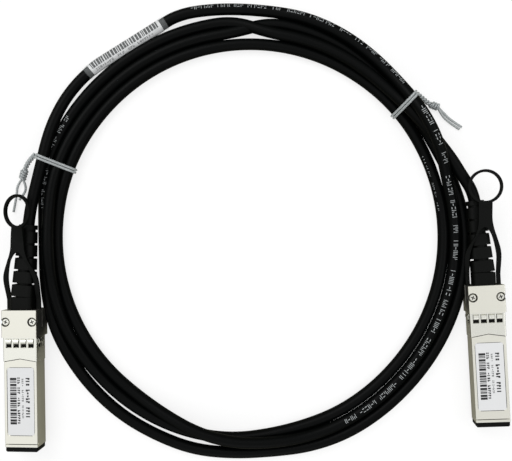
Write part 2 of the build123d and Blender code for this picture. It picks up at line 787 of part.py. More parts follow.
def coil():
    """The tied turns as one flat ring with rounded edges."""
    outer = Pos(*COIL_OUTER_CENTRE) * extrude(Ellipse(*COIL_OUTER_HALF), COIL_HEIGHT)
    inner = Pos(*COIL_INNER_CENTRE) * extrude(Ellipse(*COIL_INNER_HALF), COIL_HEIGHT)
    ring = outer - inner
    flat = ring.faces().filter_by(Axis.Z)
    return fillet(flat.edges(), COIL_ROUND)


def marker_tube(inner, outer, length):
    """A tube along the straight stretch that carries the marker."""
    first = Vector(*LEFT_ROUTE[3])
    second = Vector(*LEFT_ROUTE[4])
    middle = (first + second) / 2
    plane = Plane(origin=middle, z_dir=second - first)
    tube = extrude(plane * (Circle(outer) - Circle(inner)), length / 2, both=True)
    return tube


LEFT = end_place(LEFT_END, LEFT_HEADING, LEFT_ROLL)
RIGHT = end_place(RIGHT_END, RIGHT_HEADING, RIGHT_ROLL)

nodes = {}
for side, place, lean, drift, twist in (
    ("left", LEFT, LEFT_LEAN, LEFT_DRIFT, LEFT_TWIST),
    ("right", RIGHT, RIGHT_LEAN, RIGHT_DRIFT, RIGHT_TWIST),
):
    pieces = {
        "base_shell": base_shell(),
        "cover": cover(),
        "label": label(),
        "cover_screws": cover_screws(),
        "emi_collar": collar(),
        "mouth_frame": mouth_frame(),
        "paddle_card": paddle_card(),
        "latch_slide": latch_slide(),
        "return_spring": return_spring(),
        "crimp_ferrule": crimp_ferrule(),
        "strain_relief": strain_relief(lean),
        "pull_tab": pull_tab(drift, twist),
    }
    for name, shape in pieces.items():
        solids = shape if isinstance(shape, list) else [shape]
        nodes[side + "_" + name] = [place * solid for solid in solids]

left_tie = tie(LEFT_TIE, LEFT_TAIL)
right_tie = tie(RIGHT_TIE, RIGHT_TAIL)
left_lead = lead(LEFT, LEFT_LEAN, LEFT_EXIT_RUN, LEFT_ROUTE)
right_lead = lead(RIGHT, RIGHT_LEAN, RIGHT_EXIT_RUN, RIGHT_ROUTE)
turns = coil()

label_r = CABLE_R + MARKER_PLAY
sleeve_r = label_r + MARKER_LABEL_THICK + MARKER_PLAY
nodes["left_tie"] = [left_tie]
nodes["right_tie"] = [right_tie]
nodes["left_lead"] = [left_lead]
nodes["right_lead"] = [right_lead]
nodes["cable_coil"] = [turns]
nodes["marker_label"] = [
    marker_tube(label_r, label_r + MARKER_LABEL_THICK, MARKER_LABEL_LENGTH)
]
nodes["marker_sleeve"] = [marker_tube(sleeve_r, MARKER_R, MARKER_LENGTH)]

os.makedirs("parts", exist_ok=True)
for name, solids in nodes.items():
    shapes = [s for solid in solids for s in solid.solids()]
    shape = shapes[0] if len(shapes) == 1 else Compound(children=shapes)
    export_step(shape, os.path.join("parts", name + ".step"))
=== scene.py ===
"""A direct attach copper cable, tied in a flat coil between its two plugs, seen from above.

Sizes are in millimetres in the named values, and become metres where a mesh is made.
"""

import bmesh
import bpy
import numpy as np
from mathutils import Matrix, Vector


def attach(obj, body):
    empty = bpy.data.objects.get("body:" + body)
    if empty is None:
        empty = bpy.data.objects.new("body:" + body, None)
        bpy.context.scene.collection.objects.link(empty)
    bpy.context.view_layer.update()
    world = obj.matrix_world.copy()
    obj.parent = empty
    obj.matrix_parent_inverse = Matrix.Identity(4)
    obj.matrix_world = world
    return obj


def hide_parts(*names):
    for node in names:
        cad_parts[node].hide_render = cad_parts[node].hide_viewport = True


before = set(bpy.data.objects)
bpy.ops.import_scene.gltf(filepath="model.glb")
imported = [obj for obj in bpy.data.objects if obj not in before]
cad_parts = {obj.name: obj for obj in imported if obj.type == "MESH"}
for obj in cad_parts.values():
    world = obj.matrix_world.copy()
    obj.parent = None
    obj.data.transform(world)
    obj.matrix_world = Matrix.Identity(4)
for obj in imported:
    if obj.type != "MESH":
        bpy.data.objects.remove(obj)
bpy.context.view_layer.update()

MM = 0.001

# Camera: straight above, a little to the +Y side of the plugs
IMAGE_WIDTH = 512
CAMERA_HEIGHT = 300.0
CAMERA_Y = 32.8
FOCAL_PIXELS = 726.0
SENSOR = 36.0

# Cable
CABLE_R = 2.35
PILE = 4.76
BOOT_LENGTH = 34.0
BOOT_PIVOT = 4.5
AXIS_HEIGHT = 6.6

# The two ends: place of the head's back, heading, roll and the boot's own lean, in degrees
HEAD_WIDTH = 14.4
LEFT = {"at": (-93.0, 1.1), "heading": 0.8, "roll": -5.5, "lean": -4.8, "run": 5.0}
RIGHT = {"at": (92.3, 11.0), "heading": 3.2, "roll": -5.0, "lean": 3.2, "run": 3.2}

# Free stretches of cable, up to where each joins the coil
LEFT_ROUTE = [
    (-87.0, 58.0, 7.2),
    (-83.7, 72.4, 6.8),
    (-79.6, 83.6, 4.0),
    (-74.0, 92.1, 3.0),
    (-66.5, 99.3, 3.0),
    (-60.6, 103.0, 3.0),
    (-39.0, 116.6, 3.0),
    (-33.5, 120.1, 3.0),
    (-25.0, 122.5, 3.0),
    (-10.0, 123.7, 2.6),
    (8.0, 122.4, 2.6),
]
RIGHT_ROUTE = [
    (82.9, 55.6, 6.7),
    (78.0, 63.4, 7.1),
]

# Wire ties: inner and outer end of each loop, and the way of its twisted tail
TIE_WIRE_R = 0.5
LEFT_TIE = ((-70.2, 55.6), (-91.0, 63.8))
RIGHT_TIE = ((53.9, 77.0), (65.4, 89.3))
LEFT_TAIL = [
    (-89.2, 63.5, 6.6),
    (-92.4, 61.3, 4.2),
    (-95.0, 57.4, 2.2),
    (-96.1, 54.2, 1.2),
    (-98.4, 51.4, 0.8),
    (-98.6, 47.5, 0.6),
    (-100.0, 40.4, 0.6),
]
LEFT_SECOND = [(-95.2, 52.6, 1.4), (-94.7, 49.8, 0.8), (-96.0, 47.4, 0.6), (-97.6, 45.4, 0.6)]
RIGHT_TAIL = [
    (65.8, 88.4, 4.4),
    (68.8, 86.2, 3.2),
    (71.6, 84.4, 2.0),
    (74.7, 83.6, 1.4),
    (77.6, 80.8, 0.8),
    (80.4, 78.2, 0.6),
    (84.8, 75.4, 0.6),
]
RIGHT_SECOND = [(76.2, 80.6, 1.0), (79.4, 77.4, 0.6), (83.9, 74.5, 0.6)]

# Twist of a tail: start in radians, sway in wire radii, pitch, and first point; the last is the knot
TWISTS = ((0.0, 1.08, 2.9, 0), (np.pi, 1.08, 2.9, 0), (1.0, 2.3, 1.15, 78))
TWISTED_POINTS = 4
TWIST_SPOTS = 110
WIRES_APART = 1.12
TIE_REACH = 4.0

# Marker: its middle is on the straight stretch of the left route
MARKER_MIDDLE = (-53.2, 107.7, 3.0)
MARKER_LENGTH = 38.6
MARKER_R = 2.85
MARKER_LABEL_LENGTH = 34.0
MARKER_LABEL_R = 2.5
MARKER_BARS = (0.4, 0.7, 1.0)
MARKER_GAPS = (0.25, 0.35, 0.5)
MARKER_BAR_TURNS = (-1.35, 0.3)
MARKER_ROW_TURN = 0.52
MARKER_ROW_HEIGHT = 0.42
INK_LIFT = 0.02

# Labels on the plugs, and the contacts of the cards, in the frame of an end
BODY_TOP = 10.75
LABEL_FACE = 10.67
LABEL_START = 22.9
LABEL_LENGTH = 26.9
LABEL_WIDTH = 10.9
RECESS_MARGIN = 0.2
RECESS_DEPTH = 0.2
CARD_FRONT = -55.8
CARD_FACES = (5.975, 6.975)
CONTACT_PITCH = 0.8
CONTACT_COUNT = 10
CONTACT_HALF = 0.27
CONTACT_END = 4.6
CONTACT_START = 1.1
LONG_START = 0.5
LONG_CONTACTS = (0, 3, 6, 9)

# Print on a plug's label: a bar pattern, and rows of x, height, pitch, boldness, start and end
CODE_SIDES = (-4.35, -1.7)
CODE_ENDS = (4.0, 22.6)
CODE_BARS = (0.3, 0.55, 0.9)
CODE_GAPS = (0.22, 0.3, 0.45)
LABEL_ROWS = (
    (-1.35, 1.05, 0.95, 0.36, 3.8, 22.6),
    (0.45, 0.8, 0.8, 0.26, 4.4, 21.0),
    (2.1, 1.6, 1.15, 0.42, 4.0, 20.4),
)

# Spring fingers, screws and collar of a plug, and the painted shade under the fingers, round and
# across the screws and along the collar, in the frame of an end
FINGER_PITCH = 3.05
FINGER_SHADE_START = -14.9
FINGER_SHADE_END = -11.4
SCREW_X = 5.45
SCREW_Y = 4.6
SCREW_SEAT = 10.85
COLLAR_FRONT = -20.5
COLLAR_POINT = 1.3
COLLAR_HALF = 7.7
FINGER_COUNT = 4
SIDE_FINGER_COUNT = 2
SIDE_DEPTH = 4.275
SIDE_X = 6.04
FINGER_SHADE_HALF = 1.2
FINGER_SHADE_DEPTH = 0.66
SCREW_RING = (1.3, 1.84)
HEAD_EDGE = 7.18
CROSS_HALF = 0.8
CROSS_SLOT = 0.2
CROSS_RISE = 0.4
CROSS_TURN = 20
CHEVRON_REACH = 6.5
CHEVRON_BAND = (-0.3, 0.03)

# Coil: its centre and inner edge, and the angles of its points, in degrees
COIL_CENTRE = (-1.6, 32.6)
COIL_IN = 77.1
STEP = 10.0
FIRST_ANGLE = 75.0
LAST_ANGLE = 35.0 - 3 * 360.0

# Bumps round the coil: each has a height, and its place and width in degrees
EDGE_OFF_CENTRE = (0.8, 2.6)
EDGE_BUMPS = ((1.8, 263, 13), (0.8, 292, 16))
TIGHT_BUMPS = ((0.5, 38, 27), (0.54, 183, 15), (0.26, 268, 14))
TIE_BUMPS = ((1.0, 39.5, 9), (1.0, 161, 9))
FAN_BUMPS = ((0.9, -126, 13), (0.7, -104, 10))
DIP_BUMPS = ((0.4, 26, 11),)
FANNED_STRAND = 2

# Lane of each strand, counted from inside, and the clockwise angles where it changes
TOP_LANES = (2.92, 0, 1.95, 0.93)
RIGHT_LANES = (0.95, 0, 2, 2.9)
LEFT_LANES = (0, 1, 2, 2)
RIGHT_CHANGES = ((-54, -9), (-50, -5), (-50, -5), (-45, -10))
BOTTOM_CHANGE = (72, 124)

# Order in which the strands were laid, before and after an angle at the bottom
LAID_RIGHT = (1, 2, 3, 0)
LAID_LEFT = (0, 2, 1)
ORDER_ANGLE = -140

# Print on the jacket: strand, its two angles, middle from the top in radians, height
PRINT_LIFT = 0.03
PRINT_START = (-26.0, 121.6, 3.0)
PRINT_ROWS = (
    (0, 36, 20, -0.1, 1.8),
    (0, 17, -8, 0.1, 1.8),
    (0, -11, -64, 0.15, 1.8),
    (2, -186, -198, 0.15, 1.7),
    (2, -199.5, -212, -0.1, 1.5),
    (1, 24, 6, 0.75, 0.6),
)

# Lamps: name, place in metres, size in metres and power in watts
LAMPS = (
    ("key", (-0.35, 0.45, 0.6), 0.5, 2.6),
    ("fill", (0.5, 0.1, 0.5), 0.5, 1.2),
    ("low", (0.0, -0.6, 0.35), 0.5, 0.8),
)
LAMP_AIM = (0, 0.03, 0)
WORLD_TILT = -0.5
WORLD_STRENGTH = 1.02
FLOOR_HALF = 2.0
FLOOR_DROP = 0.0002
FLOOR_GLOW = 0.75


def linear(hex_colour):
    """An sRGB hex colour as linear red, green, blue and alpha."""
    channels = [int(hex_colour[i : i + 2], 16) / 255 for i in (0, 2, 4)]
    return [c / 12.92 if c <= 0.04045 else ((c + 0.055) / 1.055) ** 2.4 for c in channels] + [1.0]


def add(tree, kind, settings=None, **sockets):
    """Adds a node, with its settings, and with each socket set to a value or linked."""
    made = tree.nodes.new(kind)
    for key, value in (settings or {}).items():
        setattr(made, key, value)
    for key, value in sockets.items():
        socket = made.inputs[int(key[1:])] if key[0] == "i" and key[1:].isdigit() else None
        if socket is None:
            socket = made.inputs[key.replace("_", " ")]
        if isinstance(value, bpy.types.NodeSocket):
            tree.links.new(value, socket)
        else:
            socket.default_value = value
    return made


def finish_of(name, colour, roughness, metallic=0.0, **extra):
    """A material with one Principled shader. Returns the material, its tree and the shader."""
    made = bpy.data.materials.new(name)
    made.use_nodes = True
    tree = made.node_tree
    shader = tree.nodes["Principled BSDF"]
    shader.inputs["Base Color"].default_value = linear(colour)
    shader.inputs["Roughness"].default_value = roughness
    shader.inputs["Metallic"].default_value = metallic
    for key, value in extra.items():
        shader.inputs[key.replace("_", " ")].default_value = value
    return made, tree, shader


def grain(tree, shader, size_mm, strength, height_mm=0.02, detail=3.0):
    """Fine bump of the given grain size on Object coordinates."""
    place = add(tree, "ShaderNodeTexCoord")
    noise = add(
        tree, "ShaderNodeTexNoise", Vector=place.outputs["Object"],
        Scale=1 / (size_mm * MM), Detail=detail,
    )
    bump = add(
        tree, "ShaderNodeBump", Height=noise.outputs["Fac"], Strength=strength,
        Distance=height_mm * MM,
    )
    tree.links.new(bump.outputs["Normal"], shader.inputs["Normal"])
    return noise


def jacket_material():
    """Extruded PVC jacket: black, satin, with the faint matt drag of the die."""
    made, tree, shader = finish_of(
        "extruded_pvc_jacket", "030404", 0.4, IOR=1.5, Specular_IOR_Level=0.055
    )
    grain(tree, shader, 0.5, 0.15)
    return made


def zinc_material():
    """Nickel-plated die-cast zinc: pale warm silver, satin, with a faint cast skin."""
    made, tree, shader = finish_of("nickel_plated_zinc", "D8D7CD", 0.3, 1.0)
    grain(tree, shader, 0.35, 0.12, 0.01)
    return made


def steel_material():
    """Stamped stainless steel: bright and a little smoother than the casting."""
    made, tree, shader = finish_of("stamped_stainless", "D9D9D1", 0.22, 1.0)
    grain(tree, shader, 0.2, 0.08, 0.01)
    return made


def moulded_material():
    """Moulded thermoplastic elastomer: black, nearly matt, spark-eroded skin."""
    made, tree, shader = finish_of(
        "moulded_black_elastomer", "060706", 0.5, IOR=1.5, Specular_IOR_Level=0.075
    )
    grain(tree, shader, 0.25, 0.3, 0.02)
    return made


def board_material():
    """Glass-epoxy circuit board: dark green, glossy solder mask."""
    made, tree, shader = finish_of("solder_masked_board", "0E2A1A", 0.3, IOR=1.55)
    grain(tree, shader, 0.4, 0.1)
    return made


def paper_material():
    """Coated label paper: bright white, nearly matt."""
    made, tree, shader = finish_of("coated_label_paper", "CBCCCD", 0.6, IOR=1.5)
    grain(tree, shader, 0.15, 0.06, 0.01)
    return made


def clear_material():
    """Clear PVC: see-through, with a bright wet gloss."""
    return finish_of("clear_pvc", "C9CECF", 0.2, IOR=1.4, Alpha=0.07)[0]


def wire_material():
    """Coated tie wire: milky clear plastic over bright wire, so it shines grey."""
    return finish_of("coated_tie_wire", "B4B9BA", 0.16, IOR=1.5, Transmission_Weight=0.35)[0]


def gold_material():
    """Hard gold plating on the card's contacts."""
    made, tree, shader = finish_of("hard_gold_plate", "E2B458", 0.25, 1.0)
    grain(tree, shader, 0.2, 0.05, 0.005)
    return made


def painted_shade_material():
    """Painted shade: a dark, dull, half-metal finish for the patches that stand in for shade in the
    screw recesses, along the collar's edge and round the label.
    """
    made, tree, shader = finish_of("painted_recess_shade", "1A1915", 0.6, 0.4)
    grain(tree, shader, 0.3, 0.1)
    return made


def ink_material():
    """Printing ink: near black, matt."""
    return finish_of("label_ink", "141416", 0.7)[0]


def print_material():
    """White ink-jet print on the jacket, a little worn."""
    return finish_of("jacket_print", "8E9293", 0.7)[0]


def dress(node, material):
    """Gives a CAD node its material."""
    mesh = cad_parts[node].data
    mesh.materials.clear()
    mesh.materials.append(material)


def end_point(end, x, y, z):
    """A point of an end's own frame, in mm, in the row's frame: roll, heading, then place."""
    roll, heading = np.radians([end["roll"], end["heading"]])
    rx = x * np.cos(roll) + z * np.sin(roll)
    rz = -x * np.sin(roll) + z * np.cos(roll)
    lift = HEAD_WIDTH / 2 * abs(np.sin(roll))
    return (
        rx * np.cos(heading) - y * np.sin(heading) + end["at"][0],
        rx * np.sin(heading) + y * np.cos(heading) + end["at"][1],
        rz + lift,
    )


def boot_point(end, y):
    """A point on the axis of an end's boot, past the bend at its foot."""
    lean = np.radians(end["lean"])
    past = y - BOOT_PIVOT
    return end_point(end, -past * np.sin(lean), BOOT_PIVOT + past * np.cos(lean), AXIS_HEIGHT)


def bell(angle, middle, width):
    """A smooth bump of height 1 round an angle, all in degrees."""
    away = (angle - middle + 180) % 360 - 180
    return np.exp(-((away / width) ** 2))


def bumps(angle, rows):
    """The sum of some bumps at an angle."""
    return sum(height * bell(angle, middle, width) for height, middle, width in rows)


def ease(value, start, end):
    """0 before start, 1 after end, and a smooth step between them."""
    share = np.clip((value - start) / (end - start), 0, 1)
    return share * share * (3 - 2 * share)


def inner_radius(angle):
    """Radius of the coil's inner edge, in mm: nearly round, out of centre, pushed out below."""
    turn = np.radians(angle)
    shift = EDGE_OFF_CENTRE[0] * np.cos(turn) + EDGE_OFF_CENTRE[1] * np.sin(turn)
    return COIL_IN - shift + bumps(angle, EDGE_BUMPS)


def spacing(angle):
    """Distance between neighbouring turns, in mm: less at the ties and at the crossing."""
    return PILE * (1.0 - bumps(angle, TIGHT_BUMPS))


def lane(strand, angle):
    """Which lane, counted from inside, a strand keeps at an angle from 90 down to -270."""
    top, right, left = TOP_LANES[strand], RIGHT_LANES[strand], LEFT_LANES[strand]
    lane_now = top + (right - top) * ease(-angle, *RIGHT_CHANGES[strand])
    if strand == FANNED_STRAND:
        lane_now -= bumps(angle, DIP_BUMPS)
    return lane_now + (left - right) * ease(-angle, *BOTTOM_CHANGE)


def strand_radius(strand, angle):
    """Radius of a strand's centre line, in mm."""
    fan = bumps(angle, FAN_BUMPS) if strand == FANNED_STRAND else 0.0
    return inner_radius(angle) + CABLE_R + lane(strand, angle) * spacing(angle) + fan


def resting(strand, angle, laid):
    """Height of a strand that rests on the surface or on the strands laid before it."""
    low = CABLE_R + 2 * TIE_WIRE_R * bumps(angle, TIE_BUMPS)
    heights = {}
    for this in laid:
        radius = strand_radius(this, angle)
        height = low
        for other in heights:
            gap = abs(radius - strand_radius(other, angle))
            if gap < PILE:
                height = max(height, heights[other] + np.sqrt(PILE**2 - gap**2))
        heights[this] = height
    return heights.get(strand, CABLE_R)


def strand_height(strand, angle):
    """Height of a strand in its pile, by the order in which the strands were laid."""
    return resting(strand, angle, LAID_LEFT if angle < ORDER_ANGLE else LAID_RIGHT)


def coil_points():
    """Points of the turns: three whole turns and a part, clockwise from the top."""
    points = []
    for sweep in np.arange(FIRST_ANGLE, LAST_ANGLE - 1, -STEP):
        strand = int((90 - sweep) // 360)
        angle = sweep + 360 * strand
        radius = strand_radius(strand, angle)
        turn = np.radians(angle)
        points.append((
            COIL_CENTRE[0] + radius * np.cos(turn),
            COIL_CENTRE[1] + radius * np.sin(turn),
            strand_height(strand, angle),
        ))
    return points


def cable():
    """The whole cable as one smooth spline, from the left boot round the coil to the right one."""
    start = boot_point(LEFT, BOOT_LENGTH - 2)
    end = boot_point(RIGHT, BOOT_LENGTH - 2)
    route = [start, boot_point(LEFT, BOOT_LENGTH + LEFT["run"])] + LEFT_ROUTE
    route += coil_points()
    route += RIGHT_ROUTE[::-1] + [boot_point(RIGHT, BOOT_LENGTH + RIGHT["run"]), end]
    curve = bpy.data.curves.new("cable", "CURVE")
    curve.dimensions = "3D"
    spline = curve.splines.new("NURBS")
    spline.points.add(len(route) - 1)
    for point, place in zip(spline.points, route):
        point.co = (*[v * MM for v in place], 1.0)
    spline.order_u = 3
    spline.use_endpoint_u = True
    spline.resolution_u = 8
    curve.bevel_depth = CABLE_R * MM
    curve.bevel_resolution = 9
    made = bpy.data.objects.new("cable", curve)
    bpy.context.collection.objects.link(made)
    return made, [v * MM for v in start]


def centre_line(curve_object):
    """Points along a curve's own line and the distance to each, in metres."""
    thin = curve_object.data.copy()
    thin.bevel_depth = 0
    ghost = bpy.data.objects.new("line", thin)
    mesh = bpy.data.meshes.new_from_object(ghost)
    line = np.empty(len(mesh.vertices) * 3)
    mesh.vertices.foreach_get("co", line)
    bpy.data.meshes.remove(mesh)
    bpy.data.objects.remove(ghost)
    bpy.data.curves.remove(thin)
    line = line.reshape(-1, 3)
    steps = np.linalg.norm(np.diff(line, axis=0), axis=1)
    return line, np.concatenate([[0], np.cumsum(steps)])


def grids(name, blocks, material, body="cable", weld=False):
    """One mesh of smooth quads: each block is an array of rows by columns by xyz, in metres."""
    corners = []
    faces = []
    start = 0
    for block in blocks:
        rows, columns = block.shape[:2]
        index = np.arange(rows * columns).reshape(rows, columns) + start
        quads = [index[:-1, :-1], index[1:, :-1], index[1:, 1:], index[:-1, 1:]]
        faces.append(np.stack(quads, axis=-1).reshape(-1, 4))
        corners.append(block.reshape(-1, 3))
        start += rows * columns
    mesh = bpy.data.meshes.new(name)
    mesh.from_pydata(np.concatenate(corners).tolist(), [], np.concatenate(faces).tolist())
    if weld:
        work = bmesh.new()
        work.from_mesh(mesh)
        bmesh.ops.remove_doubles(work, verts=work.verts, dist=0.000002)
        bmesh.ops.recalc_face_normals(work, faces=work.faces)
        work.to_mesh(mesh)
        work.free()
    mesh.polygons.foreach_set("use_smooth", np.ones(len(mesh.polygons), dtype=bool))
    mesh.materials.append(material)
    made = bpy.data.objects.new(name, mesh)
    bpy.context.collection.objects.link(made)
    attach(made, body)
    return made


def along_line(path, lengths, distances):
    """Places on a path at some distances, with the unit directions across and up."""
    distances = np.atleast_1d(distances)
    sample = [
        np.stack([np.interp(distances + step, lengths, path[:, k]) for k in range(3)], axis=-1)
        for step in (-0.4 * MM, 0.0, 0.4 * MM)
    ]
    ahead = sample[2] - sample[0]
    ahead /= np.linalg.norm(ahead, axis=1)[:, None]
    across = np.cross(ahead, (0.0, 0.0, 1.0))
    across /= np.linalg.norm(across, axis=1)[:, None]
    return sample[1], across, np.cross(across, ahead)


def on_cable(distances, turns, radius):
    """A grid on the cable: rows by distance, columns by the angle from the top, in radians."""
    place, across, up = along_line(line, along, distances)
    turns = np.asarray(turns)[None, :, None]
    radius = np.broadcast_to(np.asarray(radius, dtype=float), (len(place),))[:, None, None]
    around = np.sin(turns) * across[:, None] + np.cos(turns) * up[:, None]
    return place[:, None] + radius * around


def nearest(point):
    """Distance along the cable to its nearest place to a point in mm."""
    away = np.linalg.norm(line - np.array(point) * MM, axis=1)
    return along[int(np.argmin(away))]


def on_strand(strand, angle):
    """Distance along the cable to a strand of the coil at an angle."""
    turn = np.radians(angle)
    radius = strand_radius(strand, angle)
    return nearest((
        COIL_CENTRE[0] + radius * np.cos(turn),
        COIL_CENTRE[1] + radius * np.sin(turn),
        strand_height(strand, angle),
    ))


def stroke_row(rng, length, pitch, bold=0.17):
    """A row of meaningless marks, in groups of short bars and dashes: start, end, low, high."""
    far = 0.66
    bar = (0.0, bold, 0.0, 1.0)
    far_bar = (far - bold, far, 0.0, 1.0)
    half_bar = (far - bold, far, 0.0, 0.55)
    high_bar = (far - bold, far, 0.5, 1.0)
    dashes = [(0.0, far, level, level + bold) for level in (0.06, 0.5 - bold / 2, 0.94 - bold)]
    level_pair = [dashes[0], dashes[2]]
    marks = [[bar, far_bar], [bar, half_bar], [bar], [bar, high_bar], [dashes[1]], level_pair]
    row = []
    place = 0.0
    while place < length:
        for _ in range(int(rng.integers(3, 9))):
            for left, right, low, high in marks[int(rng.integers(0, len(marks)))]:
                row.append((place + left * pitch, place + right * pitch, low, high))
            place += pitch
        place += float(rng.uniform(0.9, 1.8)) * pitch
    return [stroke for stroke in row if stroke[1] < length]


def jacket_print(rng, start, end, middle, height, pitch=1.35):
    """Blocks of one row of print on the cable between two distances, its middle at an angle."""
    blocks = []
    half = height / CABLE_R / 2
    for left, right, low, high in stroke_row(rng, (end - start) / MM, pitch):
        distances = start + np.linspace(left, right, 2) * MM
        turns = np.linspace(middle - half + 2 * half * low, middle - half + 2 * half * high, 4)
        blocks.append(on_cable(distances, turns, (CABLE_R + PRINT_LIFT) * MM))
    return blocks


def marker():
    """The marker: a wrapped white label with bars across it, in a clear tube.

    Both are cylinders on the cable's line. The tube's outside widens towards its ends with the
    eighth power of the way from its middle, and is a little narrower just before them.
    """
    middle = nearest(MARKER_MIDDLE)
    whole = np.linspace(-np.pi, np.pi, 41)
    half = MARKER_LABEL_LENGTH / 2 * MM
    label = on_cable(np.linspace(middle - half, middle + half, 32), whole, MARKER_LABEL_R * MM)
    wrapped = grids("marker_wrap", [label], paper, weld=True)
    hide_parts("marker_label")
    rng = np.random.default_rng(11)
    ink_r = (MARKER_LABEL_R + INK_LIFT) * MM
    bars = []
    place = middle - half + 1.0 * MM
    while place < middle + half - 1.5 * MM:
        wide = float(rng.choice(MARKER_BARS)) * MM
        across = np.linspace(*MARKER_BAR_TURNS, 9)
        bars.append(on_cable(np.array([place, place + wide]), across, ink_r))
        place += wide + float(rng.choice(MARKER_GAPS)) * MM
    for left, right, low, high in stroke_row(rng, MARKER_LABEL_LENGTH - 6, 1.1, 0.24):
        distances = middle - half + (2 + np.array([left, right])) * MM
        turns = MARKER_ROW_TURN + MARKER_ROW_HEIGHT * np.linspace(low, high, 3)
        bars.append(on_cable(distances, turns, ink_r))
    inked = grids("marker_ink", bars, ink)

    half = MARKER_LENGTH / 2 * MM
    share = np.linspace(-1, 1, 60)
    distances = middle + half * share
    flare = 0.1 * np.abs(share) ** 8 - 0.06 * bell(np.abs(share) * 100, 86, 8)
    outer = on_cable(distances, whole, (MARKER_R - 0.1 + flare) * MM)
    inner = on_cable(distances[::-1], whole, (MARKER_LABEL_R + 0.1) * MM)
    shell = np.concatenate([outer, inner, outer[:1]])
    sleeve = grids("marker_tube", [shell], clear, weld=True)
    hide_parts("marker_sleeve")
    return [wrapped, inked, sleeve]


def hull(points):
    """Convex hull of flat points, anticlockwise."""
    points = sorted(map(tuple, points))
    halves = []
    for order in (points, points[::-1]):
        chain = []
        for p in order:
            while len(chain) > 1:
                a, b = chain[-2], chain[-1]
                if (b[0] - a[0]) * (p[1] - a[1]) - (b[1] - a[1]) * (p[0] - a[0]) > 0:
                    break
                chain.pop()
            chain.append(p)
        halves += chain[:-1]
    return np.array(halves)


def smooth_path(points, count):
    """A smooth open path through the middles of the runs between points, from end to end."""
    points = np.array(points, dtype=float)
    middles = (points[:-1] + points[1:]) / 2
    joints = np.concatenate([points[:1], middles[1:-1], points[-1:]])
    path = []
    for before, corner, after in zip(joints[:-1], points[1:-1], joints[1:]):
        for share in np.linspace(0, 1, count, endpoint=False):
            path.append(
                (1 - share) ** 2 * before + 2 * share * (1 - share) * corner + share**2 * after
            )
    path.append(points[-1])
    return np.array(path)


def tube(path, radius, sides=10, closed=False):
    """A tube along a path in metres, as one block, with rounded tips unless it is closed."""
    if closed:
        ahead = np.roll(path, -1, axis=0) - np.roll(path, 1, axis=0)
    else:
        ahead = np.gradient(path, axis=0)
    ahead /= np.linalg.norm(ahead, axis=1)[:, None]
    side = np.cross(ahead[0], (0.13, 0.21, 0.97))
    rows = []
    for place, way in zip(path, ahead):
        side = side - way * np.dot(side, way)
        side /= np.linalg.norm(side)
        turns = np.linspace(0, 2 * np.pi, sides + 1)
        ring = np.cos(turns)[:, None] * side + np.sin(turns)[:, None] * np.cross(way, side)
        rows.append(place + radius * ring)
    rows = np.array(rows)
    if closed:
        return np.concatenate([rows, rows[:1]])
    tips = [(rows[0] * 0.02 + path[0] * 0.98)[None], (rows[-1] * 0.02 + path[-1] * 0.98)[None]]
    return np.concatenate([tips[0], rows, tips[1]])


def tie(name, ends, tail, second):
    """A twin-wire tie: two coated wires round the strands, twisted together into a tail.

    Each loop is the convex outline of the strands' sections, one wire's radius outside them. The
    tail is two helices half a turn apart on a smooth path, and a tight short one is the knot.
    """
    inner = np.array([*ends[0], 0.0]) * MM
    outer = np.array([*ends[1], 0.0]) * MM
    across = (outer - inner) / np.linalg.norm(outer - inner)
    ahead = np.array([-across[1], across[0], 0.0])
    beside = (line - inner) @ ahead
    circles = []
    for i in np.nonzero(beside[:-1] * beside[1:] < 0)[0]:
        share = beside[i] / (beside[i] - beside[i + 1])
        cross = line[i] + share * (line[i + 1] - line[i])
        reach = (cross - inner) @ across
        if -TIE_REACH * MM < reach < np.linalg.norm(outer - inner) + TIE_REACH * MM:
            circles.append((reach, cross[2]))
    turns = np.linspace(0, 2 * np.pi, 40, endpoint=False)
    radius = (CABLE_R + TIE_WIRE_R) * MM
    cloud = [
        (u + radius * np.cos(t), max(z + radius * np.sin(t), TIE_WIRE_R * MM))
        for u, z in circles
        for t in turns
    ]
    outline = hull(cloud)
    gaps = np.linalg.norm(np.diff(np.vstack([outline, outline[:1]]), axis=0), axis=1)
    reach = np.concatenate([[0], np.cumsum(gaps)])
    spots = np.linspace(0, reach[-1], 90, endpoint=False)
    closed = np.vstack([outline, outline[:1]])
    flat = np.stack([np.interp(spots, reach, closed[:, k]) for k in (0, 1)], axis=-1)
    for _ in range(2):
        flat = (np.roll(flat, 1, axis=0) + 2 * flat + np.roll(flat, -1, axis=0)) / 4
    blocks = []
    for shift in (-1, 1):
        path = inner + flat[:, :1] * across + flat[:, 1:] * np.array([0, 0, 1.0])
        path = path + shift * WIRES_APART * TIE_WIRE_R * MM * ahead
        blocks.append(tube(path, TIE_WIRE_R * MM, closed=True))

    way = smooth_path(np.array(tail[:TWISTED_POINTS]) * MM, 30)
    steps = np.concatenate([[0], np.cumsum(np.linalg.norm(np.diff(way, axis=0), axis=1))])
    spots = np.linspace(0, steps[-1], TWIST_SPOTS)
    place, side, up = along_line(way, steps, spots)
    for start, size, pitch, first in TWISTS:
        turn = start + spots / (pitch * MM) * 2 * np.pi
        sway = size * TIE_WIRE_R * MM
        path = place + sway * (np.cos(turn)[:, None] * side + np.sin(turn)[:, None] * up)
        path[:, 2] = np.maximum(path[:, 2], TIE_WIRE_R * MM)
        blocks.append(tube(path[first:], TIE_WIRE_R * MM))
    fork = TWISTED_POINTS - 1
    for route in (tail[fork:], tail[fork : fork + 1] + second):
        path = smooth_path(np.array(route) * MM, 16)
        blocks.append(tube(path, TIE_WIRE_R * MM))
    made = grids(name + "_wires", blocks, wire, weld=True)
    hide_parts(name)
    return made


